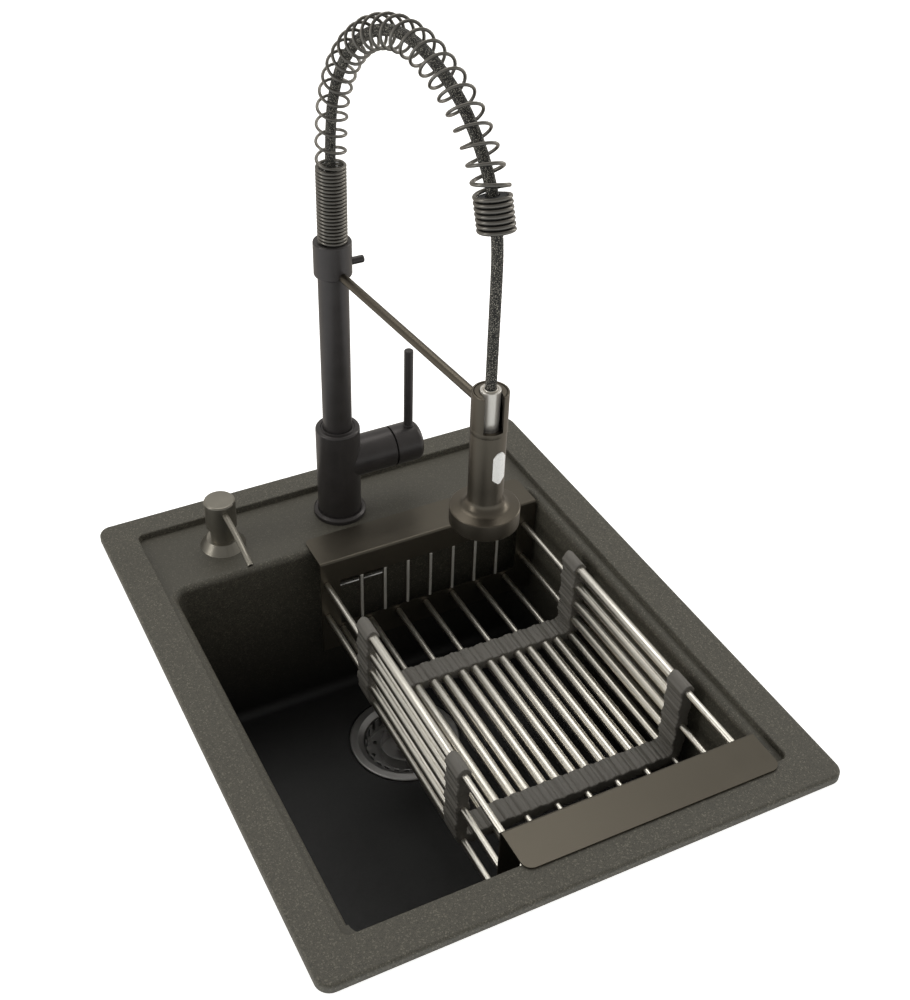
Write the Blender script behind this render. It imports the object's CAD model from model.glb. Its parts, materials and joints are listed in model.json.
"""Workstation kitchen sink: the pieces that are seen, made round its CAD frame."""
import json
from math import cos, pi, radians, sin

import bmesh
import bpy
import numpy as np
from bpy.props import FloatProperty, FloatVectorProperty, IntProperty, PointerProperty
from bpy.types import Operator, Panel, PropertyGroup
from mathutils import Matrix, Vector


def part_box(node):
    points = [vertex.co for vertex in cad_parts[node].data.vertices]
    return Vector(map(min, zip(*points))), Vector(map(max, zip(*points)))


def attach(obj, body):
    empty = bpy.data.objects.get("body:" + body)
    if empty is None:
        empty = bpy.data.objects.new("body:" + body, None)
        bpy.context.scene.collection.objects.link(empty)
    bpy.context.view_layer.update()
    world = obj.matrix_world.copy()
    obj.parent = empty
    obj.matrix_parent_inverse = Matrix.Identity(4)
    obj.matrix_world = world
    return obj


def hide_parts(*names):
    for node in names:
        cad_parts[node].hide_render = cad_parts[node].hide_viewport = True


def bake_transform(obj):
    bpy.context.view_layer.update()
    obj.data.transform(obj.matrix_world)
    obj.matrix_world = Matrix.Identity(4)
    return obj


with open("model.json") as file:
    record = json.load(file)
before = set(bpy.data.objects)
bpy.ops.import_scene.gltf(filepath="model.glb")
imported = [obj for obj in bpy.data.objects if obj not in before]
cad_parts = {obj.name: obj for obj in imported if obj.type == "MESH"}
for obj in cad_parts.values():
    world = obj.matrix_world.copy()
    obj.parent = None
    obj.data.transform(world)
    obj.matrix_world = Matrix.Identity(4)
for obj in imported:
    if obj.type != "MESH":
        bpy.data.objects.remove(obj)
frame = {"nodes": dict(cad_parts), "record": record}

bl_info = {
    "name": "Workstation sink",
    "version": (1, 0, 0),
    "blender": (4, 5, 0),
    "location": "3D View > Sidebar > Sink",
    "description": "Granite sink with a spring tap, soap pump and sliding drainer basket",
    "category": "Add Mesh",
}

MM = 0.001
UP = np.array([0.0, 0.0, 1.0])
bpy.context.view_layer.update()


def span(node):
    """Lowest and highest corner of a CAD node, in millimetres."""
    low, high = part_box(node)
    return np.array(low) / MM, np.array(high) / MM


def linear(code):
    """A six-digit screen colour as the linear red, green and blue that shaders use."""
    screen = np.array([int(code[k:k + 2], 16) for k in (1, 3, 5)]) / 255
    curved = ((screen + 0.055) / 1.055) ** 2.4
    return tuple(float(x) for x in np.where(screen <= 0.04045, screen / 12.92, curved))


# Places on the object, in millimetres

TAP = np.array([1.0, 214.5, 0.0])
PUMP = np.array([-123.0, 214.5, 0.0])
# Heading of the holder arm from the front, with the two unit vectors that lie along it and across it
ARM_ANGLE = radians(8.3)
OUTWARD = np.array([sin(ARM_ANGLE), -cos(ARM_ANGLE), 0.0])
ACROSS = np.array([cos(ARM_ANGLE), sin(ARM_ANGLE), 0.0])
# Distance of the spray head from the column, and the head's own axis
REACH = 232.5
HEAD = TAP + OUTWARD * REACH
# Heights of the mixer's axis and of the recessed deck
MIXER_Z = 62.5
DECK_Z = 1.0
# Lower and upper edge of the window in the back hanger
WINDOW_Z = -80.0, -23.0
# Ball of the mixer: its middle and the hollow of the cap on it
BALL_X = 39.39
BALL_R = 26.3


# Surfaces

def unit(v):
    """Vectors divided by their own lengths."""
    v = np.asarray(v, float)
    return v / np.maximum(np.linalg.norm(v, axis=-1, keepdims=True), 1e-12)


def distances(line):
    """Distance along a line of points, from its start to each of them."""
    return np.r_[0, np.cumsum(np.linalg.norm(np.diff(line, axis=0), axis=1))]


def between(s, run, values):
    """Rows of values at distances s, where run gives the distance of each row."""
    return np.stack([np.interp(s, run, column) for column in values.T], 1)


def softened(corners, steps, closed=False):
    """A line through corners (x, y, radius), each turned into an arc: the arc starts and ends
    radius / tan(half the corner's angle) from the corner, and its points turn evenly."""
    c = np.array(corners, float)
    if not closed:
        c[[0, -1], 2] = 0
    at, radius = c[:, :2], c[:, 2:]
    back, on = unit(np.roll(at, 1, 0) - at), unit(np.roll(at, -1, 0) - at)
    half = np.arccos(np.clip((back * on).sum(1, keepdims=True), -1, 1)) / 2
    half = np.maximum(half, 1e-3)
    centre = at + unit(back + on) * radius / np.sin(half)
    start, end = at + back * radius / np.tan(half) - centre, at + on * radius / np.tan(half) - centre
    turn = np.maximum(pi - 2 * half, 1e-4)[:, None]
    t = np.linspace(0, 1, steps + 1)[None, :, None]
    arc = (np.sin((1 - t) * turn) * start[:, None] + np.sin(t * turn) * end[:, None]) / np.sin(turn)
    line = (centre[:, None] + arc).reshape(-1, 2)
    moved = np.linalg.norm(np.diff(line, axis=0), axis=1) > 1e-5
    return line[np.r_[True, moved]]


def frame_across(way):
    """Two unit vectors square to a direction and to each other."""
    way = unit(way)
    side = unit(np.cross(way, [0.0, 1.0, 0.0] if abs(way[1]) < 0.9 else [1.0, 0.0, 0.0]))
    return side, np.cross(way, side)


def turned(profile, base, way=UP, sides=96):
    """A profile of (radius, height) turned round an axis: base + radius * (cos u, sin u) + height * axis."""
    profile = np.asarray(profile, float)
    a, b = frame_across(way)
    u = np.linspace(0, 2 * pi, sides, endpoint=False)[None, :, None]
    ring = np.cos(u) * a + np.sin(u) * b
    return np.asarray(base) + profile[:, 0, None, None] * ring + profile[:, 1, None, None] * unit(way)


def swept(path, profile, side, sides=24):
    """A skin round a path: for each (distance, radius) of the profile, a circle of that radius
    stands square to the path at that distance, counted round from the side vector."""
    path = np.asarray(path, float)
    run = distances(path)
    side = np.broadcast_to(np.asarray(side, float), path.shape)
    s, radius = np.asarray(profile, float).T
    centre, side = between(s, run, path), between(s, run, side)
    way = unit(between(s, run, np.gradient(path, run, axis=0)))
    side = unit(side - (side * way).sum(1, keepdims=True) * way)
    other = np.cross(way, side)
    u = np.linspace(0, 2 * pi, sides, endpoint=False)[None, :, None]
    return centre[:, None] + radius[:, None, None] * (np.cos(u) * side[:, None] + np.sin(u) * other[:, None])


def rod(start, end, radius, edge):
    """A straight rod between two points: swept, with the edges of its two ends rounded."""
    start, end = np.asarray(start, float), np.asarray(end, float)
    length = np.linalg.norm(end - start)
    profile = softened([(0, 0, 0), (0, radius, edge), (length, radius, edge), (length, 0, 0)], 4)
    return swept([start, end], profile, frame_across(end - start)[0])


def rods(places, y0, y1, radius, edge):
    """A skin of rods that run from y0 to y1, one at each place (x, z)."""
    skin = Skin()
    for x, z in places:
        skin.add(rod((x, y0, z), (x, y1, z), radius, edge))
    return skin


def pane(x0, x1, y0, y1, corner, steps=6):
    """Outline of a rectangle with rounded corners, anticlockwise: quarter circles joined by lines."""
    corner = max(corner, 0.01)
    t = np.linspace(0, pi / 2, steps + 1)
    arcs = []
    for k, (cx, cy) in enumerate([(x1, y1), (x0, y1), (x0, y0), (x1, y0)]):
        sx, sy = (1, -1, -1, 1)[k], (1, 1, -1, -1)[k]
        a = t + k * pi / 2
        x, y = cx - sx * corner + corner * np.cos(a), cy - sy * corner + corner * np.sin(a)
        arcs.append(np.stack([x, y], 1))
    return np.concatenate(arcs)


def capped(grid, first, last):
    """A grid closed at both ends, by a ring more at each end that is shrunk to a point."""
    shape = grid[:1].shape
    return np.concatenate([np.broadcast_to(first, shape), grid, np.broadcast_to(last, shape)])


class Skin:
    """Grids of points gathered for one piece, in millimetres. Each grid is a list of closed rings that
    all have the same number of points."""

    def __init__(self):
        self.points, self.faces, self.marks, self.count = [], [], [], 0

    def add(self, grid, loop=False, length=1.0):
        """Adds a grid; loop joins its last ring to its first. Its map runs once round each ring,
        and along the grid from 0 to the given length."""
        grid = np.asarray(grid, float)
        n, m = grid.shape[:2]
        i = np.arange(n if loop else n - 1)[:, None]
        j = np.arange(m)[None]
        corners = [(i, j), (i, j + 1), (i + 1, j + 1), (i + 1, j)]
        quads = np.stack([np.broadcast_to((a % n) * m + b % m, (i.size, j.size)) for a, b in corners], -1)
        marks = np.stack([np.stack(np.broadcast_arrays(b / m, a / n * length), -1) for a, b in corners], 2)
        self.points.append(grid.reshape(-1, 3))
        self.faces.append(quads.reshape(-1, 4) + self.count)
        self.marks.append(marks.reshape(-1, 2))
        self.count += n * m
        return self


# Edges sharper than this angle stay sharp, unless a piece has an angle of its own
SHARP = 34.0


def meshed(name, skin, material, sharp=SHARP, outward=True):
    """Makes an object from its grids: doubles are merged so seams and poles close, faces are turned
    outwards, and edges sharper than the angle stay sharp."""
    points = np.concatenate(skin.points) * MM
    faces = np.concatenate(skin.faces)
    marks = np.concatenate(skin.marks)
    mesh = bpy.data.meshes.new(name)
    mesh.vertices.add(len(points))
    mesh.vertices.foreach_set("co", points.ravel())
    mesh.loops.add(faces.size)
    mesh.loops.foreach_set("vertex_index", faces.ravel().astype(np.int32))
    mesh.polygons.add(len(faces))
    mesh.polygons.foreach_set("loop_start", np.arange(0, faces.size, 4, dtype=np.int32))
    mesh.update(calc_edges=True)
    mesh.uv_layers.new(name="map").data.foreach_set("uv", marks.ravel().astype(np.float32))
    work = bmesh.new()
    work.from_mesh(mesh)
    bmesh.ops.remove_doubles(work, verts=work.verts, dist=0.002 * MM)
    bmesh.ops.dissolve_degenerate(work, edges=work.edges, dist=0.001 * MM)
    if outward:
        bmesh.ops.recalc_face_normals(work, faces=work.faces)
    work.to_mesh(mesh)
    work.free()
    mesh.shade_smooth()
    mesh.set_sharp_from_angle(angle=radians(sharp))
    mesh.materials.append(material)
    piece = bpy.data.objects.new(name, mesh)
    bpy.context.scene.collection.objects.link(piece)
    return piece


# Shaders

class Value:
    """A value on its way through a material's nodes. Arithmetic on it adds Math nodes."""

    def __init__(self, recipe, socket):
        self.recipe, self.socket = recipe, socket

    def math(self, operation, *terms):
        return self.recipe.node("ShaderNodeMath", {"operation": operation}, dict(enumerate(terms)))

    def __add__(self, other):
        return self.math("ADD", self, other)

    __radd__ = __add__

    def __sub__(self, other):
        return self.math("SUBTRACT", self, other)

    def __rsub__(self, other):
        return self.math("SUBTRACT", other, self)

    def __mul__(self, other):
        return self.math("MULTIPLY", self, other)

    __rmul__ = __mul__

    def wave(self):
        """Sine of the value."""
        return self.math("SINE", self)

    def held(self, low, high, to_low=0.0, to_high=1.0):
        """The value carried from one range to another and held at its ends."""
        return self.recipe.node("ShaderNodeMapRange", {}, {0: self, 1: low, 2: high, 3: to_low, 4: to_high})


class Wiring:
    """Nodes of one tree, added by name with their settings first."""

    def __init__(self, tree, place):
        self.tree = tree
        self.place = self.node("ShaderNodeTexCoord", {}, {}, place)

    def node(self, kind, settings, values, out=0):
        """Adds a node: its settings first, then the values or links of its sockets."""
        new = self.tree.nodes.new(kind)
        for setting, value in settings.items():
            setattr(new, setting, value)
        for socket, value in values.items():
            if isinstance(value, Value):
                self.tree.links.new(value.socket, new.inputs[socket])
            else:
                new.inputs[socket].default_value = value
        return Value(self, new.outputs[out])

    def axis(self, which):
        """One axis of the place: 0 for x, 1 for y, 2 for z."""
        return self.node("ShaderNodeSeparateXYZ", {}, {0: self.place}, which)

    def mix(self, factor, first, second):
        """A colour between two, by a factor from 0 to 1."""
        first, second = (c if isinstance(c, Value) else (*c, 1.0) for c in (first, second))
        return self.node("ShaderNodeMix", {"data_type": "RGBA"}, {0: factor, 6: first, 7: second}, 2)


class Recipe(Wiring):
    """One material: a Principled shader whose fixed values sit on its own sockets."""

    def __init__(self, name, **fixed):
        self.material = bpy.data.materials.new(name)
        self.material.use_nodes = True
        self.shader = next(n for n in self.material.node_tree.nodes if n.type == "BSDF_PRINCIPLED")
        for socket, value in fixed.items():
            self.shader.inputs[socket.replace("_", " ")].default_value = value
        super().__init__(self.material.node_tree, "Object")

    def noise(self, lump, detail, rough=0.5, place=None):
        """Cloudy noise whose lumps are about so many millimetres wide."""
        return self.node("ShaderNodeTexNoise", {}, {
            "Vector": place or self.place, "Scale": 1 / (lump * MM), "Detail": detail, "Roughness": rough})

    def grains(self, wide):
        """Cells about so many millimetres wide, each with a tone of its own."""
        scale = 1 / (wide * MM)
        cells = self.node("ShaderNodeTexVoronoi", {}, {"Vector": self.place, "Scale": scale}, "Color")
        return self.node("ShaderNodeSeparateColor", {}, {0: cells})

    def stretched(self, x, y, z):
        """Object coordinates scaled on each axis, for a brushed or drawn grain."""
        return self.node("ShaderNodeMapping", {}, {"Vector": self.place, "Scale": (x, y, z)})

    def bump(self, height, depth, amount):
        """A relief of the given depth in millimetres."""
        return self.node("ShaderNodeBump", {}, {
            "Strength": amount, "Distance": depth * MM, "Height": height})

    def feed(self, **links):
        """Links varying values to the shader, and gives the finished material."""
        for socket, value in links.items():
            self.tree.links.new(value.socket, self.shader.inputs[socket.replace("_", " ")])
        return self.material


# Settings

def tint(name, description, code):
    """A colour, given as a screen colour."""
    return FloatVectorProperty(name=name, description=description, subtype="COLOR", size=3, min=0, max=1,
                               default=linear(code))


def share(name, description, value):
    """A number from 0 to 1."""
    return FloatProperty(name=name, description=description, default=value, min=0, max=1, subtype="FACTOR")


def size(name, description, value):
    """A length, given in millimetres."""
    return FloatProperty(name=name, description=description, default=value * MM, min=0, subtype="DISTANCE",
                         unit="LENGTH")


def strength(name, description, value):
    """An amount of light."""
    return FloatProperty(name=name, description=description, default=value, min=0)


def count(name, description, value, least):
    """A whole number."""
    return IntProperty(name=name, description=description, default=value, min=least)


class StageSettings(PropertyGroup):
    floor: tint("Worktop", "Colour of the worktop", "#fbfbfa")
    glow: strength("Worktop glow", "Light of the worktop itself", 0.8)
    sky: strength("Sky", "Strength of the light from all round", 1.0)
    key: strength("Key light", "Power of the light above", 9.0)
    side: strength("Side lights", "Power of the tall side lights", 6.0)


class GraniteSettings(PropertyGroup):
    ground: tint("Ground", "Colour of the stone between its grains", "#3b3932")
    grain: tint("Grain", "Colour of the pale grains", "#7e7a6c")
    pit: tint("Pit", "Colour of the dark grains", "#1d1c18")
    wet: tint("Bowl", "Colour of the stone deep in the bowl", "#1c1c1c")
    grain_size: size("Grain size", "Width of one grain", 0.62)
    roughness: share("Roughness", "Roughness of the stone", 0.58)


class MetalSettings(PropertyGroup):
    black: tint("Black coat", "Colour of the satin black coat on the tap", "#444140")
    gunmetal: tint("Gunmetal", "Colour of the spray head, holder and hangers", "#625c52")
    steel: tint("Steel", "Colour of the basket's tubes and rods", "#e4e0d6")
    chrome: tint("Chrome", "Colour of the bright trim", "#e6e5e2")
    grey: tint("Grey metal", "Colour of the soap pump", "#8d897f")
    wire: tint("Wire", "Colour of the spring's wire", "#74716b")


class SpringSettings(PropertyGroup):
    wire: size("Wire", "Diameter of the spring's wire", 2.9)
    thin: share("Stretched", "Width of the wire in the open curls, as a share", 0.9)
    outer: size("Foot", "Outer diameter of the spring at the column", 27.0)
    arch_outer: size("Arch", "Outer diameter of the open curls", 28.0)
    end_outer: size("End", "Outer diameter of the closed curls at the free end", 29.0)
    foot_curls: count("Foot curls", "Closed curls at the column", 22, 4)
    arch_curls: count("Arch curls", "Open curls over the arch", 25, 4)
    end_curls: count("End curls", "Closed curls at the free end", 7, 2)
    foot_pitch: size("Foot pitch", "Rise of one closed curl at the column", 3.3)
    end_pitch: size("End pitch", "Rise of one closed curl at the free end", 4.0)
    turn: FloatProperty(name="Turn", description="Where the wire starts, round the spring", default=0.0,
                        subtype="ANGLE")


class HoseSettings(PropertyGroup):
    diameter: size("Hose", "Diameter of the braided hose", 9.2)
    strands: count("Strands", "Strands of the braid each way", 16, 4)
    dark: tint("Dark thread", "Colour of the black threads", "#161512")
    pale: tint("Pale thread", "Colour of the grey threads", "#a8a498")


class BasketSettings(PropertyGroup):
    grip: tint("Grip", "Colour of the soft grip strips", "#73706a")
    rib: size("Rib", "Width of one rib of a grip strip", 5.4)
    edge: size("Edge", "Rounding of the rods' ends", 0.8)


# Finishes

# Heights between which the bowl darkens
BOWL_SHADE = -60.0, -190.0


def granite(s):
    """Moulded quartz composite: fine pale and dark grains over a dark ground, slightly bumpy. The
    grains show less on the recessed deck, and the stone darkens toward the bottom of the bowl."""
    r = Recipe("granite", IOR=1.5)
    width = s.grain_size / MM
    height = r.axis(2)
    # The square of the height over the deck tells the deck from all that stands 0.2 mm off it
    level = height - DECK_Z * MM
    calm = (level * level).held(1e-9, 4e-8, 0.4, 1.0)
    depth = height.held(BOWL_SHADE[0] * MM, BOWL_SHADE[1] * MM)
    fine = r.noise(width, 2.0, 0.7)
    cloud = r.noise(width * 4, 3.0, 0.7)
    tone = r.grains(width * 1.6)
    pale = (fine * 0.75 + cloud * 0.35 - 0.55) * calm + 0.42
    speck = (tone - 0.84).held(0.0, 0.12, 0.0, 0.34) * calm
    colour = r.mix(pale.held(0.2, 0.7), s.pit, s.grain)
    colour = r.mix(0.3, colour, s.ground)
    colour = r.mix(speck, colour, tuple(c * 1.5 for c in s.grain))
    colour = r.mix(depth, colour, s.wet)
    rough = (cloud - 0.5) * 0.2 + (fine - 0.5) * 0.1 + s.roughness
    relief = fine + cloud * 0.6
    return r.feed(Base_Color=colour, Roughness=rough, Normal=r.bump(relief, 0.12, 0.7))


def shades(colour, fleck):
    """A colour made darker and lighter by a share."""
    return tuple(c * (1 - fleck) for c in colour), tuple(min(c * (1 + fleck), 1) for c in colour)


def mottled(r, fine, cloud, cloud_share, tones, roughness, fine_sway, cloud_sway, relief):
    """The finish of a recipe from a fine and a wide noise: both together pick the tone and sway the
    roughness, and the fine one gives the relief."""
    tone = r.mix((cloud * cloud_share + fine * (1 - cloud_share)).held(0.3, 0.7), *tones)
    rough = (cloud - 0.5) * cloud_sway + (fine - 0.5) * fine_sway + roughness
    return r.feed(Base_Color=tone, Roughness=rough, Normal=r.bump(fine, *relief))


def coated(name, colour, metallic, roughness, fleck, depth, lump=0.8):
    """Satin coat: an even colour with a faint fleck and orange-peel relief."""
    r = Recipe(name, Metallic=metallic, IOR=1.5)
    darker, lighter = shades(colour, fleck)
    tones = darker, tuple(min(c + 0.004, 1) for c in lighter)
    return mottled(r, r.noise(lump, 2.0, 0.6), r.noise(18.0, 2.0), 0.6, tones, roughness,
                   0.08, 0.12, (depth, 0.6))


def brushed(name, colour, roughness, grain, depth, fleck, metallic=1.0):
    """Brushed metal: fine streaks drawn out along one axis."""
    r = Recipe(name, Metallic=metallic)
    streak = r.noise(1.0, 3.0, 0.6, r.stretched(*grain))
    return mottled(r, streak, r.noise(25.0, 2.0), 0.3, shades(colour, fleck), roughness,
                   0.16, 0.08, (depth, 0.5))


def polished(name, colour, roughness):
    """Bright plate with the faintest smears."""
    r = Recipe(name, Metallic=1.0)
    cloud = r.noise(9.0, 3.0, 0.6)
    tone = r.mix(cloud.held(0.35, 0.75), tuple(c * 0.93 for c in colour), colour)
    return r.feed(Base_Color=tone, Roughness=(cloud - 0.5) * 0.08 + roughness)


def moulded(name, colour, roughness, depth=0.03, lump=0.5, fleck=0.08, alpha=1.0):
    """Moulded plastic or rubber: fine grain in the surface and in its gloss."""
    r = Recipe(name, Alpha=alpha)
    return mottled(r, r.noise(lump, 3.0, 0.6), r.noise(14.0, 2.0), 0.5, shades(colour, fleck), roughness,
                   0.2, 0.1, (depth, 0.7))


def braid(s):
    """Braided sleeve: pale flecks in a black weave, placed by fine noise and a little by two waves
    that wind opposite ways over its own map."""
    r = Recipe("hose_braid", IOR=1.45)
    own_place = r.place
    r.place = r.node("ShaderNodeUVMap", {"uv_map": "map"}, {})
    lean = 2 * pi * s.strands
    around, along = r.axis(0) * lean, r.axis(1) * lean
    first, second = (around + along).wave(), (around - along).wave()
    r.place = own_place
    fibre = r.noise(0.7, 1.0, 0.5)
    pale = (first * second * 0.05 + fibre).held(0.58, 0.66)
    tone = r.mix(pale, s.dark, s.pale)
    return r.feed(Base_Color=tone, Roughness=fibre * 0.3 + 0.4, Normal=r.bump(fibre, 0.08, 0.8))


def make_finishes(scene):
    """Every finish of the object, by the record's slot or by a name of its own."""
    metal = scene.sink_metal
    drawn, upright = (60.0, 2.0, 60.0), (60.0, 60.0, 3.0)
    finishes = {
        "granite": granite(scene.sink_granite),
        "hose_braid": braid(scene.sink_hose),
        "chrome_trim": polished("chrome_trim", metal.chrome, 0.22),
    }
    # Colour, metallic, roughness, fleck, depth of the relief and width of its lumps
    coats = {
        "black_metal": (metal.black, 0.55, 0.36, 0.1, 0.008),
        "spring_steel": (metal.wire, 0.95, 0.3, 0.1, 0.004),
        "brass_part": (linear("#b5924a"), 1.0, 0.3, 0.1, 0.01),
        "bar_steel": (linear("#d6d4ce"), 0.4, 0.3, 0.05, 0.001),
        "satin_chrome": (linear("#dedad2"), 0.55, 0.22, 0.03, 0.0005, 3.0),
        "drain_steel": (linear("#a3a2a0"), 0.75, 0.34, 0.05, 0.001, 3.0),
        "grey_metal": (metal.grey, 0.9, 0.36, 0.1, 0.01, 0.5),
    }
    # Colour, roughness, grain, depth of the relief, fleck and metallic
    brushes = {
        "gunmetal": (metal.gunmetal, 0.34, upright, 0.003, 0.06),
        "stainless": (metal.steel, 0.3, drawn, 0.0006, 0.05),
        "hanger_metal": (linear("#5f5a50"), 0.36, drawn, 0.001, 0.05, 0.82),
    }
    # Colour, roughness, depth of the relief, width of its lumps, fleck and opacity
    plastics = {
        "black_rubber": (linear("#1f1f20"), 0.62),
        "grip_silicone": (scene.sink_basket.grip, 0.55, 0.04, 0.4),
        "black_plastic": (linear("#2e2f31"), 0.5),
        "white_plastic": (linear("#f4f4f1"), 0.28, 0.008, 1.5, 0.02),
        "nozzle_plate": (linear("#6f7172"), 0.5),
        "bottle_plastic": (linear("#e8e8e2"), 0.3, 0.01, 2.0, 0.03, 0.72),
    }
    for make, rows in ((coated, coats), (brushed, brushes), (moulded, plastics)):
        finishes.update({name: make(name, *values) for name, values in rows.items()})
    return finishes


FINISHES = {}
# CAD pieces whose finish differs from the rest of their slot
OWN_FINISH = {"back_hanger": "hanger_metal", "front_hanger": "hanger_metal", "strainer_cup": "drain_steel",
              "strainer_knob": "drain_steel", "drain_body": "drain_steel"}


# Routes of the spring and the hose

# Places (outward, up) that the hose passes in the arm's plane, from the column to the spray head
HOSE_LINE = np.array([
    (0.4, 290), (0.6, 374), (2.6, 401), (5.8, 425), (13.8, 448), (25.6, 468.5), (42.8, 487.5), (62.5, 501.5),
    (82, 509.6), (101, 513.6), (118, 513.6), (135, 510.6), (150.5, 505), (165.5, 498), (179.5, 489.5),
    (191.5, 479.5), (202, 468), (211.3, 455.5), (218.8, 442.5), (224.6, 429), (228.6, 415), (231.2, 400),
    (232.3, 384), (232.5, 366), (232.5, 240)], float)
# Step of the smoothed line, and how far its average reaches to each side
LINE_STEP = 0.5
SMOOTH_REACH = 16.0


def smooth_line(points, reach):
    """An even line through points: straight pieces at even steps, then averaged under a raised
    cosine that reaches a little to each side. Both ends stay where they are."""
    run = distances(points)
    line = between(np.arange(0, run[-1], LINE_STEP), run, points)
    far = int(reach / LINE_STEP)
    weight = np.hanning(2 * far + 3)[1:-1]
    before = 2 * line[0] - line[1:far + 1][::-1]
    after = 2 * line[-1] - line[-far - 1:-1][::-1]
    padded = np.concatenate([before, line, after])
    return np.stack([np.convolve(column, weight / weight.sum(), "valid") for column in padded.T], 1)


# Heights at which the spring begins on the column and ends over the spray head
SPRING_FOOT = 297.6
SPRING_END = 406.5
# Pace of the open curls and sag of the spring below the hose, each over the spring's length
ARCH_PACE = [0, 0.15, 0.3, 0.45, 0.6, 0.8, 1], [1.2, 1.12, 1.0, 0.97, 1.0, 1.02, 0.97]
SAG = [0, 0.12, 0.3, 0.55, 0.8, 0.93, 1], [0.4, 0.6, 0.6, 1.0, 0.3, 0.0, 0.0]
HOSE_PATH = smooth_line(HOSE_LINE, SMOOTH_REACH)
HOSE_RUN = distances(HOSE_PATH)


def in_space(flat):
    """Points (outward, up) of the arm's plane in the object's own frame."""
    return TAP + flat[:, :1] * OUTWARD + flat[:, 1:] * UP


def along_hose(s):
    """Points (outward, up) of the hose at distances s along it."""
    return between(s, HOSE_RUN, HOSE_PATH)


def hose_at(height, far=True):
    """Distance along the hose at which it passes a height, on its far or its near side."""
    side = HOSE_PATH[:, 0] > REACH / 2 if far else HOSE_PATH[:, 0] < REACH / 2
    k = np.argmin(np.where(side, np.abs(HOSE_PATH[:, 1] - height), 1e9))
    return HOSE_RUN[k]


# Makers

def finished(name, skin, body, slot, *nodes, sharp=SHARP, finish=None):
    """Makes a piece that rides a body and stands for CAD nodes, if any are named. Its finish is its
    slot's, or another where one is named."""
    piece = meshed(name, skin, FINISHES[finish or slot], sharp)
    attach(piece, body)
    if nodes:
        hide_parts(*nodes)


def finished_ring(name, corners, sides, body, node):
    """A black ring round the tap: corners (radius, height, rounding) turned round the tap's axis."""
    ring = turned(softened(corners, 5, True), TAP, sides=sides)
    finished(name, Skin().add(ring, loop=True), body, "black_metal", node, sharp=30)


class Maker:
    """What every operator shares."""
    bl_options = {"REGISTER", "UNDO"}


# Cut-out of the worktop: half its width, half its depth and its corner's radius
CUTOUT = 226.0, 276.0, 10.0
SLAB = 40.0
HORIZON = 6000.0
# The photograph's camera, fitted to the corners of the rim: its place in metres, its heading, tilt
# and roll in degrees, and its focal length and its middle in pixels of a picture of this size
CAMERA_PLACE = -0.4180, -0.79293, 0.8673
CAMERA_HEADING, CAMERA_TILT, CAMERA_ROLL = 25.5, 38.09, 0.12
CAMERA_FOCUS, CAMERA_MIDDLE = 1384.31, 395.20
PICTURE_WIDE, PICTURE_TALL = 910, 1000
SENSOR = 24.0
LAMP_TINT = 1, 0.985, 0.96


def lay_worktop(settings):
    """A pale slab with the sink's cut-out: the outline of the hole is carried down to the slab's
    underside and out to the horizon."""
    r = Recipe("worktop", Roughness=0.7, Emission_Strength=settings.glow)
    tone = r.mix(r.noise(60.0, 2.0), tuple(c * 0.985 for c in settings.floor), settings.floor)
    finish = r.feed(Base_Color=tone, Emission_Color=tone)
    wide, deep, corner = CUTOUT
    hole = pane(-wide, wide, -deep, deep, corner)
    edge = unit(hole) * HORIZON
    rings = [np.c_[hole, np.full(len(hole), z)] for z in (-SLAB, 0.0)]
    rings += [np.c_[hole + (edge - hole) * k, np.zeros(len(hole))] for k in (0.1, 1.0)]
    return meshed("worktop", Skin().add(np.stack(rings)), finish, outward=False)


def hang_sky(scene, brightness):
    """Light by direction, for the metals to mirror. Low down it is bright and cool on the camera's
    side, dimmer and warmer on the far side, and a little brighter to the left and right. High up it
    is dim on the camera's side and brighter on the far side."""
    aside, ahead = 0.43, 0.9
    world = bpy.data.worlds.new("studio")
    world.use_nodes = True
    sky = Wiring(world.node_tree, "Generated")
    toward = sky.axis(0) * -aside + sky.axis(1) * -ahead
    across = sky.axis(0) * ahead - sky.axis(1) * aside
    above = sky.axis(2).held(-0.05, 0.25)
    low_light = toward.held(0.35, -0.6, 0.78, 0.58) + (across * across).held(0.35, 0.85, 0.0, 0.12)
    high_light = toward.held(0.6, -0.9, 0.34, 0.62)
    light = low_light * (1 - above) + high_light * above
    low_colour = sky.mix(toward.held(0.3, -0.5), (0.95, 0.98, 1.0), (1.0, 0.93, 0.84))
    colour = sky.mix(above, low_colour, (1.0, 0.985, 0.955))
    shader = world.node_tree.nodes["Background"]
    world.node_tree.links.new(colour.socket, shader.inputs[0])
    world.node_tree.links.new((light * brightness).socket, shader.inputs[1])
    scene.world = world


def place_lamp(scene, name, place, target, extent, power):
    """A soft rectangular lamp at a place, turned to a target."""
    light = bpy.data.lights.new(name, "AREA")
    light.shape = "RECTANGLE"
    light.size, light.size_y = extent
    light.energy = power
    light.color = LAMP_TINT
    thing = bpy.data.objects.new(name, light)
    thing.location = place
    thing.rotation_euler = (Vector(target) - Vector(place)).to_track_quat("-Z", "Y").to_euler()
    scene.collection.objects.link(thing)


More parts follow.
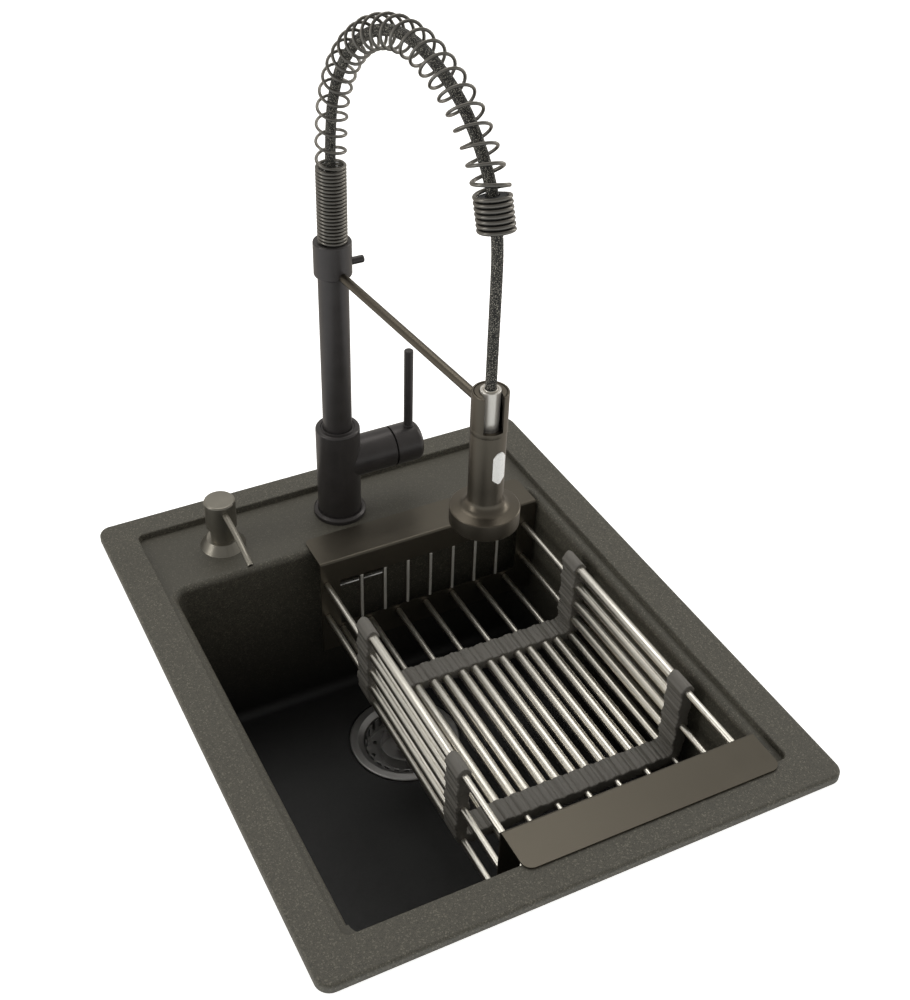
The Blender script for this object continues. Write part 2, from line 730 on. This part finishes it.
def place_camera(scene):
    """The camera where the photograph was taken: it looks along its heading, tilted down, and is
    rolled about its own axis."""
    yaw, pitch, roll = radians(CAMERA_HEADING), radians(CAMERA_TILT), radians(CAMERA_ROLL)
    ahead = np.array([sin(yaw) * cos(pitch), cos(yaw) * cos(pitch), -sin(pitch)])
    right = np.array([cos(yaw), -sin(yaw), 0.0])
    above = np.cross(right, ahead)
    right, above = cos(roll) * right + sin(roll) * above, -sin(roll) * right + cos(roll) * above
    camera = bpy.data.cameras.new("camera")
    camera.sensor_fit = "VERTICAL"
    camera.sensor_height = SENSOR
    camera.lens = CAMERA_FOCUS / PICTURE_TALL * SENSOR
    camera.shift_x = (PICTURE_WIDE / 2 - CAMERA_MIDDLE) / PICTURE_TALL
    camera.clip_end = 50
    view = bpy.data.objects.new("camera", camera)
    turn = np.eye(4)
    turn[:3, 0], turn[:3, 1], turn[:3, 2], turn[:3, 3] = right, above, -ahead, CAMERA_PLACE
    view.matrix_world = Matrix(turn.tolist())
    scene.collection.objects.link(view)
    scene.camera = view


class SINK_OT_stage(Maker, Operator):
    """Pale worktop with the cut-out, soft lights, and the camera at the photograph's angle"""
    bl_idname = "sink.stage"
    bl_label = "Stage, lights and camera"

    def execute(self, context):
        scene = context.scene
        s = scene.sink_stage
        floor = lay_worktop(s)
        floor.visible_glossy = False
        floor.visible_shadow = False
        hang_sky(scene, s.sky)
        place_lamp(scene, "softbox_above", (0.1, 0.9, 1.9), (0, 0, 0), (1.6, 0.9), s.key)
        place_lamp(scene, "softbox_left", (-1.7, 0.3, 0.8), (0, 0.1, 0.3), (0.4, 1.5), s.side)
        place_lamp(scene, "softbox_right", (1.7, 0.2, 0.8), (0, 0.1, 0.3), (0.4, 1.5), s.side)
        place_camera(scene)
        scene.view_settings.view_transform = "Standard"
        return {"FINISHED"}


class SINK_OT_finishes(Maker, Operator):
    """Gives every CAD piece that still shows its finish"""
    bl_idname = "sink.finishes"
    bl_label = "Finishes"

    def execute(self, context):
        FINISHES.update(make_finishes(context.scene))
        for row in frame["record"]["subparts"]:
            thing = frame["nodes"][row["node"]]
            thing.data.materials.clear()
            finish = OWN_FINISH.get(row["node"], row["material_slot"])
            thing.data.materials.append(FINISHES[finish])
        return {"FINISHED"}


# Points of the wire in one curl
PER_TURN = 28
# Curls added beyond each end of the spring, and the part of a curl over which the pace is averaged
SPARE_CURLS = 4
PACE_BLUR = 0.3
# Length over which the spring leaves the hose's own line for the straight line of its end
SETTLE = 12
# Lengths over which the curls widen after the foot and before the free end
FOOT_FLARE, END_FLARE = 20, 30
# Width of the wire in the closed curls at the free end, as a share
END_WIRE = 1.14
# Radii of the dark sleeve inside that end
SLEEVE_IN, SLEEVE_OUT = 5.6, 11.2


def wire_runs(s, c, full, foot, end):
    """Distance along the hose at each turn count c. The closed curls rise evenly, the open curls
    share what is left by ARCH_PACE, and the whole is averaged over a part of a curl."""
    steps = np.linspace(0, 1, 101)
    pace = np.cumsum(np.interp(steps, *ARCH_PACE))
    arch = foot + (full - end - foot) * (pace - pace[0]) / (pace[-1] - pace[0])
    turns = c[-1]
    marks = np.r_[-SPARE_CURLS, 0, s.foot_curls + steps * s.arch_curls, turns, turns + SPARE_CURLS]
    runs = np.r_[-SPARE_CURLS * s.foot_pitch / MM, 0, arch, full, full + SPARE_CURLS * s.end_pitch / MM]
    far = int(PACE_BLUR * PER_TURN)
    wide = np.arange(-far, len(c) + far) / PER_TURN
    weight = np.hanning(2 * far + 3)[1:-1]
    return np.convolve(np.interp(wide, marks, runs), weight / weight.sum(), "valid")[:len(c)]


class SINK_OT_spring(Maker, Operator):
    """Coiled spring from the column over the arch: close curls at both ends, open curls between"""
    bl_idname = "sink.spring"
    bl_label = "Spout spring"

    def execute(self, context):
        s = context.scene.sink_spring
        wire = s.wire / MM / 2
        turns = s.foot_curls + s.arch_curls + s.end_curls
        c = np.linspace(0, turns, turns * PER_TURN + 1)
        begin, finish = hose_at(SPRING_FOOT + wire, False), hose_at(SPRING_END)
        full = finish - begin
        foot, end = s.foot_curls * (s.foot_pitch / MM), s.end_curls * (s.end_pitch / MM)
        used = wire_runs(s, c, full, foot, end)

        # The spring's own middle line, which sags below the hose and ends straight
        flat = along_hose(begin + used)
        way = unit(along_hose(begin + used + 2) - along_hose(begin + used - 2))
        low, high = along_hose(np.array([finish])), along_hose(np.array([finish - end]))
        last = unit(low - high)
        straight = np.clip((used - full + end + SETTLE) / SETTLE, 0, 1)[:, None]
        straight = straight * straight * (3 - 2 * straight)
        flat = flat * (1 - straight) + (low + last * (used - full)[:, None]) * straight
        way = unit(way * (1 - straight) + last * straight)
        out = np.stack([way[:, 1], -way[:, 0]], 1)
        sag = np.interp(used / full, *SAG)
        middle = in_space(flat + out * sag[:, None])

        # The wire runs round it: middle + radius * (normal * cos turn - across * sin turn). The radius
        # and the wire's own width change from part to part.
        ends = [-1e3, foot, foot + FOOT_FLARE, full - end - END_FLARE, full - end, 1e3]
        widths = np.array([s.outer, s.outer, s.arch_outer, s.arch_outer, s.end_outer, s.end_outer]) / MM
        radius = np.interp(used, ends, widths / 2 - wire)[:, None]
        normal = out[:, :1] * OUTWARD + out[:, 1:] * UP
        angle = 2 * pi * c[:, None] + s.turn
        away = normal * np.cos(angle) - ACROSS * np.sin(angle)
        path = middle + away * radius
        run = distances(path)
        inner = run[(run > wire) & (run < run[-1] - wire)]
        slim = np.interp(used, ends, [1, 1, s.thin, s.thin, END_WIRE, END_WIRE])
        slim = np.interp(inner, run, slim) * wire
        cap = softened([(0, 0, 0), (0, wire, wire * 0.5), (run[-1], wire, wire * 0.5), (run[-1], 0, 0)], 4)
        half = len(cap) // 2
        profile = np.concatenate([cap[:half], np.c_[inner, slim], cap[half:]])
        skin = Skin().add(swept(path, profile, away, 12))
        finished("spout_spring_wire", skin, "spout", "spring_steel", "spout_spring")

        # A dark sleeve inside the closed curls at the free end
        tube = np.linspace(full - end + 1, full - 2, 24)
        core = in_space(low + last * (tube - full)[:, None] + out[-1] * sag[-1])
        outside = swept(core, np.c_[tube - tube[0], np.full(len(tube), SLEEVE_OUT)], ACROSS, 64)
        inside = core[:, None] + (outside - core[:, None]) * (SLEEVE_IN / SLEEVE_OUT)
        sleeve = Skin().add(np.concatenate([outside, inside[::-1]]), loop=True)
        finished("spring_sleeve", sleeve, "spout", "black_plastic", sharp=40)
        return {"FINISHED"}


# Heights at which the hose begins inside the column and ends inside the spray head, and those
# between which it changes from the spout's motion to the spray head's
HOSE_FOOT, HOSE_END = 304.0, 262.0
HOSE_STEP = 0.55
# Relief of the braid, and the length of one turn of its threads in circumferences of the hose
WEAVE = 0.42
LAY = 1.15


class SINK_OT_hose(Maker, Operator):
    """Braided hose through the spring and down into the spray head"""
    bl_idname = "sink.hose"
    bl_label = "Braided hose"

    def execute(self, context):
        s = context.scene.sink_hose
        radius = s.diameter / MM / 2
        run = np.arange(hose_at(HOSE_FOOT, False), hose_at(HOSE_END), HOSE_STEP)
        path = in_space(along_hose(run))
        lay = run / (2 * pi * radius * LAY)
        around = 72
        u = np.arange(around) / around
        # Two sets of threads wind opposite ways. The first lies on top where the wave of the second
        # is positive, and the second where it is negative.
        first = np.sin(pi * s.strands * (u[None] + lay[:, None]))
        second = np.sin(pi * s.strands * (u[None] - lay[:, None]))
        weave = np.maximum(np.abs(first) * (0.6 + 0.4 * np.sign(second)),
                           np.abs(second) * (0.6 - 0.4 * np.sign(second)))
        ring = swept(path, np.c_[run - run[0], np.ones(len(run))], ACROSS, around)
        body = path[:, None] + (ring - path[:, None]) * (radius - WEAVE + WEAVE * weave)[..., None]
        skin = Skin().add(capped(body, path[0], path[-1]), length=float(lay[-1] - lay[0]))
        piece = meshed("braided_hose", skin, FINISHES["hose_braid"], sharp=180)
        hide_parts("hose_upper", "hose_lower")
        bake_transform(piece)
        return {"FINISHED"}


# Heights of the bell's foot and of the holder cup's top, the cup's own height and the gap under it
BELL_Z = 144.0
CUP_TOP = 272.5
CUP_H = 37.0
CUP_GAP = 0.12
GRIP_R = 14.8
# The button stands nearly in line with the arm, the slot of the cup well to its left
BUTTON_TURN = radians(3.5)
BUTTON_HALF = 6.3
CUP_HEADING = ARM_ANGLE - radians(21.6)


class SINK_OT_spray_head(Maker, Operator):
    """Spray head: tapered chrome neck, grip on a flat bell with a crisp band, and the press button"""
    bl_idname = "sink.spray_head"
    bl_label = "Spray head"

    def execute(self, context):
        base, top, r = HEAD + UP * BELL_Z, CUP_TOP - CUP_H - CUP_GAP - BELL_Z, GRIP_R
        seat, band, face, recess = 1.2, 29.4, 26.6, 2.4
        grip = softened([(0, top - seat, 0), (9.0, top - seat, 0.4), (9.0, top, 0.5), (r, top, 0.12),
                         (r, 40, 0)], 6)
        bell = softened([(r, 39, 0), (r, 18.6, 9.0), (28.7, 15.8, 0.3), (band, 15.1, 0.3), (band, 0, 1.2),
                         (face, 0, 0.6), (face, recess, 0.5), (0, recess, 0)], 10)
        shell = turned(np.concatenate([grip, bell]), base, sides=144)
        finished("spray_bell", Skin().add(shell), "spray_head", "gunmetal", "spray_shell", sharp=40)

        # The neck, from the grip's top: a ferrule, the slender tube, a collar and the hose's own end
        neck = softened([(0, 0.1, 0), (8.5, 0.1, 0.4), (8.5, 2.6, 0.6), (8.1, 3.4, 0.5), (8.1, 6, 4),
                         (8.5, 33, 3), (8.5, 37.4, 0.3), (8.5, 38.9, 0.7), (6.4, 38.9, 0.3),
                         (6.1, 37.9, 0.3), (5.6, 37.9, 0.3), (5.6, 39.6, 0.5), (4.7, 39.6, 0.4),
                         (4.7, 36, 0), (0, 36, 0)], 5)
        skin = Skin().add(turned(neck, base + UP * top))
        finished("spray_neck_tapered", skin, "spray_head", "chrome_trim", "spray_neck",
                 finish="satin_chrome")

        # The button: its outline is drawn on the grip, then stepped inwards and outwards to a dome
        low, high = span("spray_button")
        middle, tall = (low[2] + high[2]) / 2, (high[2] - low[2]) / 2
        wide, proud = BUTTON_HALF, 1.3
        outline = softened([(wide, tall - 4.6, 3), (2.4, tall, 3.2), (-2.4, tall, 3.2),
                            (-wide, tall - 4.6, 3), (-wide, -tall + 5.2, 2), (0, -tall, 2.2),
                            (wide, -tall + 5.2, 2)], 6, True)
        heading = ARM_ANGLE + BUTTON_TURN
        rings = []
        for inset, out in ((0, -0.6), (0, 0.5), (0.14, 0.8), (0.4, 1.05), (0.75, 1.2), (1.2, 1.26),
                           (2.6, proud), (4.5, proud)):
            flat = outline * (1 - inset / np.maximum(np.linalg.norm(outline, axis=1, keepdims=True), inset))
            turn = heading + flat[:, :1] / (r + proud)
            way = np.concatenate([np.sin(turn), -np.cos(turn), np.zeros_like(turn)], 1)
            rings.append(HEAD + way * (r + out) + UP * (middle + flat[:, 1:]))
        heart = rings[-1].mean(0) + np.array([sin(heading), -cos(heading), 0]) * 0.12
        rings.append(np.broadcast_to(heart, rings[-1].shape))
        finished("press_button", Skin().add(np.stack(rings)), "spray_trigger", "white_plastic",
                 "spray_button", sharp=60)
        return {"FINISHED"}


class SINK_OT_holder_cup(Maker, Operator):
    """Slotted holder cup: a C-shaped wall with an inner liner, on a closed ring at its foot"""
    bl_idname = "sink.holder_cup"
    bl_label = "Holder cup"

    def execute(self, context):
        half_slot, outer, inner = 8.0, 15.1, 11.5
        low, high = span("holder_cup")
        top, foot, floor = high[2], low[2], low[2] + 4.5
        wall = softened([(outer, floor, 0), (outer, top, 0.7), (13.5, top, 0.3), (13.4, top - 1.4, 0.2),
                         (12.9, top - 1.4, 0.2), (12.8, top - 0.3, 0.3), (8.8, top - 0.25, 0.6),
                         (8.8, top - 9, 0.5), (inner, top - 10, 0.5), (inner, floor, 0)], 5)
        # Each point of the wall's profile goes round from one side of the slot to the other
        opening = np.arcsin(np.clip(half_slot / wall[:, 0], -1, 1))
        t = np.linspace(0, 1, 97)[None]
        angle = CUP_HEADING + opening[:, None] + (2 * pi - 2 * opening[:, None]) * t
        ring = np.stack([np.sin(angle), -np.cos(angle)], -1) * wall[:, :1, None]
        height = np.broadcast_to(wall[:, 1, None, None], ring.shape[:2] + (1,))
        grid = np.concatenate([HEAD[:2] + ring, height], -1).transpose(1, 0, 2)
        skin = Skin().add(capped(grid, grid[0].mean(0), grid[-1].mean(0)))
        foot_ring = softened([(outer, foot, 0.1), (outer, floor, 0.15), (inner, floor, 0.5),
                              (inner, foot, 0.5)], 4, True)
        skin.add(turned(foot_ring, HEAD, sides=128), loop=True)
        finished("holder_cup_slotted", skin, "spout", "gunmetal", "holder_cup", sharp=30)
        return {"FINISHED"}


class SINK_OT_trim(Maker, Operator):
    """Overflow frame, tap ring and bearing ring"""
    bl_idname = "sink.trim"
    bl_label = "Trim"

    def execute(self, context):
        low, high = span("overflow_cover")
        centre, half = (low + high) / 2, (high - low) / 2
        wall, proud = high[1], half[1] * 2
        # The frame's section: distance in from the outline, and height where the frame's own is 1.6
        section = ((0, 0), (0, 0.5), (0.2, 1.0), (0.7, 1.45), (1.4, 1.6), (2.4, 1.45), (3.0, 1.1),
                   (3.3, 0.6), (3.4, -1.0))
        rings = []
        for inset, out in section:
            wide, tall = half[0] - inset, half[2] - inset
            oval = pane(-wide, wide, -tall, tall, tall - 0.001, 16)
            depth = np.full(len(oval), wall - out * proud / 1.6)
            rings.append(np.c_[centre[0] + oval[:, 0], depth, centre[2] + oval[:, 1]])
        finished("overflow_frame", Skin().add(np.stack(rings), loop=True), "sink", "chrome_trim",
                 "overflow_cover", sharp=60)

        low, high = span("tap_base_ring")
        inner, outer, slope = 21.7, 26, 23.6
        corners = [(inner, low[2], 0.2), (outer, low[2], 0.4), (outer, high[2] - 2.0, 0.6),
                   (slope, high[2], 0.8), (inner, high[2], 0.3)]
        finished_ring("tap_ring", corners, 128, "sink", "tap_base_ring")

        low, high = span("column_ring")
        inner, outer = 14.3, (high[0] - low[0]) / 2
        corners = [(inner, low[2], 0.2), (outer, low[2], 0.3), (outer, high[2] - 0.8, 0.4),
                   (outer - 1.2, high[2], 0.5), (inner, high[2], 0.3)]
        finished_ring("bearing_ring", corners, 96, "spout", "column_ring")
        return {"FINISHED"}


class SINK_OT_pump(Maker, Operator):
    """Pump nozzle: a bent tube with an open end"""
    bl_idname = "sink.pump"
    bl_label = "Pump nozzle"

    def execute(self, context):
        reach, drop, height = 81.0, 11.0, 46.0
        r, bore, deep = 2.95, 2.1, 6
        # The tube drops with the third power of its reach
        t = np.linspace(0.06, 1, 80)[:, None]
        path = PUMP + np.concatenate([t * 0, -t * reach, height - drop * t ** 3], 1)
        run = distances(path)
        full = run[-1]
        inner = run[(run > 1) & (run < full - 1)]
        mouth = softened([(full - 1, r, 0), (full, r, 0.4), (full, bore, 0.3), (full - deep, bore, 0.2),
                          (full - deep, 0, 0)], 4)
        profile = np.concatenate([[(0, 0), (0, r)], np.c_[inner, np.full(len(inner), r)], mouth])
        skin = Skin().add(swept(path, profile, (1, 0, 0), 40))
        finished("pump_spout", skin, "pump_top", "grey_metal", "pump_nozzle")
        return {"FINISHED"}


class SINK_OT_mixer(Maker, Operator):
    """Mixer cap with its parting groove round the ball, and its straight lever"""
    bl_idname = "sink.mixer"
    bl_label = "Mixer cap and lever"

    def execute(self, context):
        low, high = span("mixer_cap")
        r, groove = (high[1] - low[1]) / 2, 1.5
        lip = low[0] + groove
        rim = np.sqrt(BALL_R ** 2 - (lip - BALL_X) ** 2)
        lean = np.linspace(0, np.arcsin(rim / BALL_R), 16)
        hollow = np.c_[BALL_R * np.sin(lean), BALL_X + BALL_R * np.cos(lean)]
        outer = softened([(rim, lip, 0), (r, lip, 0.35), (r, high[0], 6.0), (0, high[0], 0)], 10)
        cap = turned(np.concatenate([hollow, outer]), (0, TAP[1], MIXER_Z), np.array([1.0, 0, 0]), 128)
        finished("mixer_cap_hollow", Skin().add(cap), "mixer_handle", "black_metal", "mixer_cap")

        low, high = span("mixer_lever")
        base = np.array([(low[0] + high[0]) / 2, (low[1] + high[1]) / 2, 0])
        wide, collar, neck = 4.5, 5.6, 3.8
        sunk, proud = MIXER_Z + r - 0.4, MIXER_Z + r + 1.0
        stick = softened([(0, low[2], 0), (neck, low[2], 0), (neck, sunk, 0), (collar, sunk, 0),
                          (collar, proud, 0.4), (wide, proud, 0.3), (wide, high[2], 1.1),
                          (0, high[2], 0)], 6)
        lever = Skin().add(turned(stick, base, sides=64))
        finished("mixer_lever_stick", lever, "mixer_handle", "black_metal", "mixer_lever")
        return {"FINISHED"}


TUBE_R = 4.7
ROD_R = 3.0
# The front tubes stand a pair apart, and a back tube one step before each of them but the first
HANGER_WIDE = 237
TUBE_PAIR = HANGER_WIDE * 0.1291
TUBE_STEP = TUBE_PAIR * 0.556
FRONT_TUBES, SIDE_TUBES = 8, 4
# Width of the window in the back hanger, width of one of its bars and their number
WINDOW_WIDE, BAR_WIDE, BARS = 196.71, 4.6, 7


def basket_places():
    """Places of the basket's tubes: x of the floor tubes that the back end and the front end slide
    in, x and z of the side tubes, and z of the floor tubes."""
    low, high = span("floor_tubes")
    floor_z = (low[2] + high[2]) / 2
    front = [low[0] + TUBE_R + TUBE_PAIR * k for k in range(FRONT_TUBES)]
    back = [x + TUBE_PAIR - TUBE_STEP for x in front[:-1]]
    low, high = span("side_tubes")
    side_x = [low[0] + TUBE_R, high[0] - TUBE_R]
    side_z = [float(z) for z in np.linspace(low[2] + TUBE_R, high[2] - TUBE_R, SIDE_TUBES)]
    return back, front, side_x, side_z, floor_z


class SINK_OT_basket_metal(Maker, Operator):
    """Tubes and rods of the drainer basket with rounded ends, and the bars of its window"""
    bl_idname = "sink.basket_metal"
    bl_label = "Basket tubes and rods"

    def execute(self, context):
        edge = context.scene.sink_basket.edge / MM
        back_x, front_x, side_x, side_z, floor_z = basket_places()
        low, high = span("floor_tubes")
        for name, node, places in (
                ("basket_floor_tubes", "floor_tubes", [(x, floor_z) for x in back_x + front_x]),
                ("basket_side_tubes", "side_tubes", [(x, z) for x in side_x for z in side_z])):
            finished(name, rods(places, low[1], high[1], TUBE_R, edge), "basket", "stainless", node)
        for name, node, body, xs, zs in (
                ("basket_back_rods", "back_rods", "back_end", back_x, side_z[0::2]),
                ("basket_front_rods", "front_rods", "front_end", front_x, side_z[1::2])):
            low, high = span(node)
            places = [(x, floor_z) for x in xs] + [(x, z) for x in side_x for z in zs]
            finished(name, rods(places, low[1], high[1], ROD_R, edge), body, "stainless", node)

        # The window's bars get round fronts: they share its width with equal gaps between them
        low, high = span("back_hanger")
        clear = (WINDOW_WIDE - BAR_WIDE * BARS) / (BARS + 1)
        left = (low[0] + high[0] - WINDOW_WIDE) / 2 + clear + BAR_WIDE / 2
        y, foot, top = low[1] + 0.2, WINDOW_Z[0] + 1, WINDOW_Z[1] - 1
        bars = Skin()
        for x in left + np.arange(BARS) * (clear + BAR_WIDE):
            bars.add(rod((x, y, foot), (x, y, top), 1.5, 0.5))
        finished("window_bars", bars, "back_end", "stainless", finish="bar_steel")
        return {"FINISHED"}


# A grip strip: reach past the top tubes, which is its end's radius too, half its width round a tube,
# between tubes and at most, the length over which they pass into each other, depth of its ribs, and
# rounding of its edges
STRIP_END, STRIP_TUBE, STRIP_WAIST, STRIP_MOST = 7.8, 7.0, 5.7, 7.75
STRIP_SOFT = 0.9
RIB_DEEP = 1.0
STRIP_EDGE = 1.4


def grip_strip(rib):
    """The strip's middle line (x, z), the unit vectors square to it, and half its width along it. The
    line goes down one side, across the floor and up the other, through the tubes' middles. The
    width swells round each tube as a circle does, by a smooth maximum, and ribs cut into it as a
    power of a sine."""
    back_x, front_x, side_x, side_z, floor_z = basket_places()
    tubes = np.array([(x, floor_z) for x in back_x + front_x] + [(x, z) for x in side_x for z in side_z])
    top, corner = side_z[-1] + STRIP_END, 9
    line = softened([(side_x[0], top, 0), (side_x[0], floor_z, corner), (side_x[1], floor_z, corner),
                     (side_x[1], top, 0)], 24)
    run = distances(line)
    full = run[-1]
    s = np.linspace(0, full, 900)
    turn = np.linspace(0, pi / 2, 12)
    s = np.r_[STRIP_END * (1 - np.cos(turn)), s[(s > STRIP_END + 0.1) & (s < full - STRIP_END - 0.1)],
              full - STRIP_END * (1 - np.cos(turn[::-1]))]
    at = between(s, run, line)
    way = unit(np.gradient(at, s, axis=0))
    normal = np.stack([way[:, 1], -way[:, 0]], 1)
    gap = np.linalg.norm(at[:, None] - tubes[None], axis=2)
    lobe = np.sqrt(np.maximum(STRIP_TUBE ** 2 - gap ** 2, 0)).max(1)
    half = STRIP_SOFT * np.log(np.exp(STRIP_WAIST / STRIP_SOFT) + np.exp(lobe / STRIP_SOFT))
    flute = np.abs(np.sin(pi * s / rib)) ** 0.6
    half = np.minimum(half - RIB_DEEP + RIB_DEEP * flute, STRIP_MOST)
    ends = np.minimum(s, full - s)
    rounded = np.sqrt(np.maximum(STRIP_END ** 2 - (STRIP_END - ends) ** 2, 0)) * half / STRIP_END
    return at, normal, np.maximum(np.where(ends < STRIP_END, rounded, half), 0.0)


class SINK_OT_grips(Maker, Operator):
    """Ribbed grip strips that hold the tubes, one strip at each end of the basket"""
    bl_idname = "sink.grips"
    bl_label = "Grip strips"

    def execute(self, context):
        at, normal, half = grip_strip(context.scene.sink_basket.rib / MM)
        # The section is a rounded rectangle: each point has its corner's signs and a quarter circle
        edge = np.minimum(STRIP_EDGE, half * 0.6)
        t = np.linspace(0, pi / 2, 5)
        turn = np.concatenate([t + k * pi / 2 for k in range(4)])
        sign_x, sign_y = np.repeat([1, -1, -1, 1], 5), np.repeat([1, 1, -1, -1], 5)
        for name, node in (("basket_back_grip", "back_grip"), ("basket_front_grip", "front_grip")):
            low, high = span(node)
            width, middle = (high[1] - low[1]) / 2, (high[1] + low[1]) / 2
            out = sign_x * (half - edge)[:, None] + np.cos(turn) * edge[:, None]
            along = sign_y * (width - edge)[:, None] + np.sin(turn) * edge[:, None] + middle
            x = at[:, None, 0] + normal[:, None, 0] * out
            z = at[:, None, 1] + normal[:, None, 1] * out
            grid = np.stack([x, along, z], -1)
            skin = Skin().add(capped(grid, grid[0].mean(0), grid[-1].mean(0)))
            finished(name, skin, "basket", "grip_silicone", node, sharp=50)
        return {"FINISHED"}


# Add-on

STEPS = (SINK_OT_stage, SINK_OT_finishes, SINK_OT_spring, SINK_OT_hose, SINK_OT_spray_head,
         SINK_OT_holder_cup, SINK_OT_trim, SINK_OT_pump, SINK_OT_mixer, SINK_OT_basket_metal, SINK_OT_grips)
SETTINGS = {"sink_stage": StageSettings, "sink_granite": GraniteSettings, "sink_metal": MetalSettings,
            "sink_spring": SpringSettings, "sink_hose": HoseSettings, "sink_basket": BasketSettings}


class SINK_PT_maker(Panel):
    """Sizes, colours and makers of the sink"""
    bl_label = "Workstation sink"
    bl_idname = "SINK_PT_maker"
    bl_space_type = "VIEW_3D"
    bl_region_type = "UI"
    bl_category = "Sink"

    def draw(self, context):
        for key, group in SETTINGS.items():
            box = self.layout.box()
            for prop in group.__annotations__:
                box.prop(getattr(context.scene, key), prop)
        for step in STEPS:
            self.layout.operator(step.bl_idname)


def register():
    for group in SETTINGS.values():
        bpy.utils.register_class(group)
    for step in STEPS:
        bpy.utils.register_class(step)
    bpy.utils.register_class(SINK_PT_maker)
    for key, group in SETTINGS.items():
        setattr(bpy.types.Scene, key, PointerProperty(type=group))


def unregister():
    for key in SETTINGS:
        delattr(bpy.types.Scene, key)
    bpy.utils.unregister_class(SINK_PT_maker)
    for step in reversed(STEPS):
        bpy.utils.unregister_class(step)
    for group in SETTINGS.values():
        bpy.utils.unregister_class(group)


def main():
    register()
    for step in STEPS:
        group, name = step.bl_idname.split(".")
        getattr(getattr(bpy.ops, group), name)()


if __name__ == "__main__":
    main()
